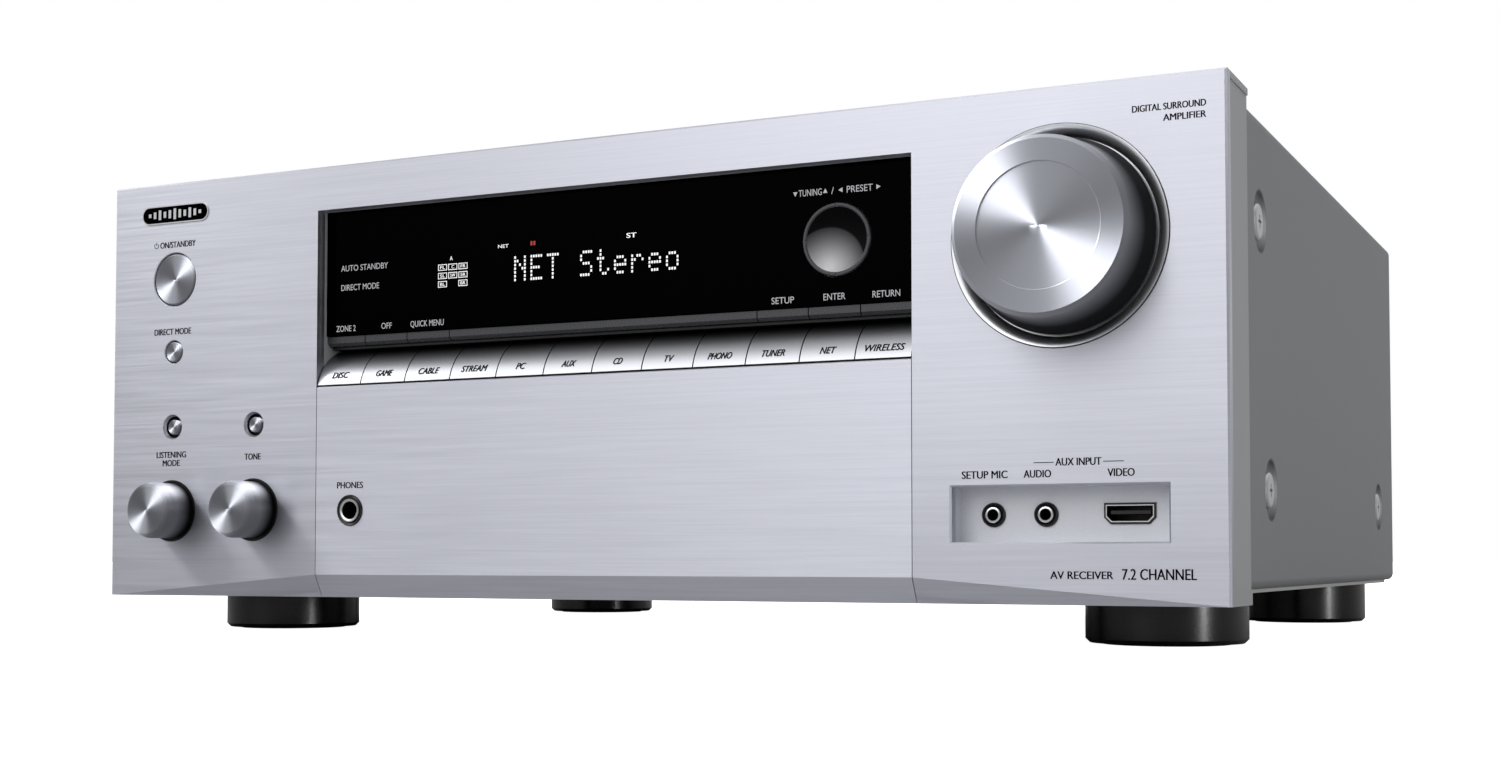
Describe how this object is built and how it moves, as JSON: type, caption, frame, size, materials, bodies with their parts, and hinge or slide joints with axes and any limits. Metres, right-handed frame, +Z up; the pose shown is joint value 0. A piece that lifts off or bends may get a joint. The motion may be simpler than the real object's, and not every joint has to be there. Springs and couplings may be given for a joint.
{
  "type": "stereo receiver",
  "caption": "Home audio receiver: silver front plate with a large volume knob, a dark display window, input keys, sockets, a ventilated steel case and round feet.",
  "frame": {"origin": "middle of the bottom of the whole object's box, on the surface it stands on", "axes": "+X to the right seen from the front, +Y from the front plate to the back, +Z up"},
  "size_m": [0.435, 0.378, 0.1735],
  "materials": {
    "brushed_plate": "horizontally brushed, satin",
    "bezel_silver": "silver painted, satin",
    "window_black": "polished black",
    "strip_grey": "satin dark grey",
    "key_silver": "plated, polished",
    "knob_metal": "turned",
    "dish_metal": "polished",
    "black_plastic": "satin",
    "foot_black": "satin gloss",
    "pad_rubber": "matt",
    "cover_paint": "silver grey, fine texture",
    "chassis_steel": "zinc plated",
    "rear_paint": "black, fine texture",
    "screw_steel": "nickel plated",
    "display_glass": "clear",
    "board_green": "solder mask",
    "core_steel": "varnished laminations",
    "sink_alloy": "extruded",
    "part_black": "moulded",
    "can_sleeve": "shrink sleeve",
    "cap_red": "moulded",
    "cap_black": "moulded",
    "socket_metal": "nickel plated",
    "port_steel": "plated"
  },
  "bodies": {
    "case": {"front_plate": "brushed_plate", "centre_panel": "brushed_plate", "front_bezel": "bezel_silver", "display_window": "window_black", "key_strip": "strip_grey", "volume_dish": "dish_metal", "knob_rings": "black_plastic", "input_tray": "bezel_silver", "mini_jacks": "black_plastic", "front_port": "black_plastic", "phones_jack": "black_plastic", "top_cover": "cover_paint", "bottom_chassis": "chassis_steel", "rear_panel": "rear_paint", "feet": "foot_black", "foot_pads": "pad_rubber", "case_screws": "screw_steel", "display_tube": "display_glass", "front_board": "board_green", "encoders": "part_black", "transformer": "core_steel", "heatsink": "sink_alloy", "output_transistors": "part_black", "amplifier_board": "board_green", "filter_capacitors": "can_sleeve", "digital_board": "board_green", "terminal_block": "part_black", "terminal_caps_red": "cap_red", "terminal_caps_black": "cap_black", "rca_jacks": "socket_metal", "rear_ports": "port_steel", "ac_inlet": "part_black"},
    "power_button": {"power_button": "knob_metal"},
    "direct_button": {"direct_button": "knob_metal"},
    "mode_button": {"mode_button": "knob_metal"},
    "tone_button": {"tone_button": "knob_metal"},
    "display_key_1": {"display_key_1": "strip_grey"},
    "display_key_2": {"display_key_2": "strip_grey"},
    "display_key_3": {"display_key_3": "strip_grey"},
    "display_key_4": {"display_key_4": "strip_grey"},
    "display_key_5": {"display_key_5": "strip_grey"},
    "display_key_6": {"display_key_6": "strip_grey"},
    "selector_key_01": {"selector_key_01": "key_silver"},
    "selector_key_02": {"selector_key_02": "key_silver"},
    "selector_key_03": {"selector_key_03": "key_silver"},
    "selector_key_04": {"selector_key_04": "key_silver"},
    "selector_key_05": {"selector_key_05": "key_silver"},
    "selector_key_06": {"selector_key_06": "key_silver"},
    "selector_key_07": {"selector_key_07": "key_silver"},
    "selector_key_08": {"selector_key_08": "key_silver"},
    "selector_key_09": {"selector_key_09": "key_silver"},
    "selector_key_10": {"selector_key_10": "key_silver"},
    "selector_key_11": {"selector_key_11": "key_silver"},
    "selector_key_12": {"selector_key_12": "key_silver"},
    "mode_knob": {"mode_knob": "knob_metal"},
    "tone_knob": {"tone_knob": "knob_metal"},
    "volume_knob": {"volume_knob": "knob_metal"},
    "cursor_gimbal": {"cursor_gimbal": "black_plastic"},
    "cursor_pad": {"cursor_ring": "strip_grey", "cursor_disc": "window_black"}
  },
  "joints": [
    {"name": "power_button_press", "type": "slide", "parent": "case", "child": "power_button", "axis": [0, 1, 0], "range_m": [0, 0.0008], "stiffness_N_per_m": 2500},
    {"name": "direct_button_press", "type": "slide", "parent": "case", "child": "direct_button", "axis": [0, 1, 0], "range_m": [0, 0.0008], "stiffness_N_per_m": 2500},
    {"name": "mode_button_press", "type": "slide", "parent": "case", "child": "mode_button", "axis": [0, 1, 0], "range_m": [0, 0.0008], "stiffness_N_per_m": 2500},
    {"name": "tone_button_press", "type": "slide", "parent": "case", "child": "tone_button", "axis": [0, 1, 0], "range_m": [0, 0.0008], "stiffness_N_per_m": 2500},
    {"name": "display_key_1_press", "type": "slide", "parent": "case", "child": "display_key_1", "axis": [0, 1, 0], "range_m": [0, 0.0008], "stiffness_N_per_m": 2500},
    {"name": "display_key_2_press", "type": "slide", "parent": "case", "child": "display_key_2", "axis": [0, 1, 0], "range_m": [0, 0.0008], "stiffness_N_per_m": 2500},
    {"name": "display_key_3_press", "type": "slide", "parent": "case", "child": "display_key_3", "axis": [0, 1, 0], "range_m": [0, 0.0008], "stiffness_N_per_m": 2500},
    {"name": "display_key_4_press", "type": "slide", "parent": "case", "child": "display_key_4", "axis": [0, 1, 0], "range_m": [0, 0.0008], "stiffness_N_per_m": 2500},
    {"name": "display_key_5_press", "type": "slide", "parent": "case", "child": "display_key_5", "axis": [0, 1, 0], "range_m": [0, 0.0008], "stiffness_N_per_m": 2500},
    {"name": "display_key_6_press", "type": "slide", "parent": "case", "child": "display_key_6", "axis": [0, 1, 0], "range_m": [0, 0.0008], "stiffness_N_per_m": 2500},
    {"name": "selector_key_01_press", "type": "slide", "parent": "case", "child": "selector_key_01", "axis": [0, 1, 0], "range_m": [0, 0.0008], "stiffness_N_per_m": 2500},
    {"name": "selector_key_02_press", "type": "slide", "parent": "case", "child": "selector_key_02", "axis": [0, 1, 0], "range_m": [0, 0.0008], "stiffness_N_per_m": 2500},
    {"name": "selector_key_03_press", "type": "slide", "parent": "case", "child": "selector_key_03", "axis": [0, 1, 0], "range_m": [0, 0.0008], "stiffness_N_per_m": 2500},
    {"name": "selector_key_04_press", "type": "slide", "parent": "case", "child": "selector_key_04", "axis": [0, 1, 0], "range_m": [0, 0.0008], "stiffness_N_per_m": 2500},
    {"name": "selector_key_05_press", "type": "slide", "parent": "case", "child": "selector_key_05", "axis": [0, 1, 0], "range_m": [0, 0.0008], "stiffness_N_per_m": 2500},
    {"name": "selector_key_06_press", "type": "slide", "parent": "case", "child": "selector_key_06", "axis": [0, 1, 0], "range_m": [0, 0.0008], "stiffness_N_per_m": 2500},
    {"name": "selector_key_07_press", "type": "slide", "parent": "case", "child": "selector_key_07", "axis": [0, 1, 0], "range_m": [0, 0.0008], "stiffness_N_per_m": 2500},
    {"name": "selector_key_08_press", "type": "slide", "parent": "case", "child": "selector_key_08", "axis": [0, 1, 0], "range_m": [0, 0.0008], "stiffness_N_per_m": 2500},
    {"name": "selector_key_09_press", "type": "slide", "parent": "case", "child": "selector_key_09", "axis": [0, 1, 0], "range_m": [0, 0.0008], "stiffness_N_per_m": 2500},
    {"name": "selector_key_10_press", "type": "slide", "parent": "case", "child": "selector_key_10", "axis": [0, 1, 0], "range_m": [0, 0.0008], "stiffness_N_per_m": 2500},
    {"name": "selector_key_11_press", "type": "slide", "parent": "case", "child": "selector_key_11", "axis": [0, 1, 0], "range_m": [0, 0.0008], "stiffness_N_per_m": 2500},
    {"name": "selector_key_12_press", "type": "slide", "parent": "case", "child": "selector_key_12", "axis": [0, 1, 0], "range_m": [0, 0.0008], "stiffness_N_per_m": 2500},
    {"name": "mode_knob_turn", "type": "hinge", "parent": "case", "child": "mode_knob", "pos_m": [-0.187, -0.168, 0.0465], "axis": [0, 1, 0], "continuous": true},
    {"name": "tone_knob_turn", "type": "hinge", "parent": "case", "child": "tone_knob", "pos_m": [-0.1472, -0.168, 0.0465], "axis": [0, 1, 0], "continuous": true},
    {"name": "volume_knob_turn", "type": "hinge", "parent": "case", "child": "volume_knob", "pos_m": [0.1657, -0.168, 0.1271], "axis": [0, 1, 0], "continuous": true},
    {"name": "cursor_up_down", "type": "hinge", "parent": "case", "child": "cursor_gimbal", "pos_m": [0.0897, -0.1574, 0.1322], "axis": [1, 0, 0], "range_deg": [-3, 3], "stiffness_Nm_per_rad": 0.4},
    {"name": "cursor_left_right", "type": "hinge", "parent": "cursor_gimbal", "child": "cursor_pad", "pos_m": [0.0897, -0.1574, 0.1322], "axis": [0, 0, 1], "range_deg": [-3, 3], "stiffness_Nm_per_rad": 0.4}
  ]
}
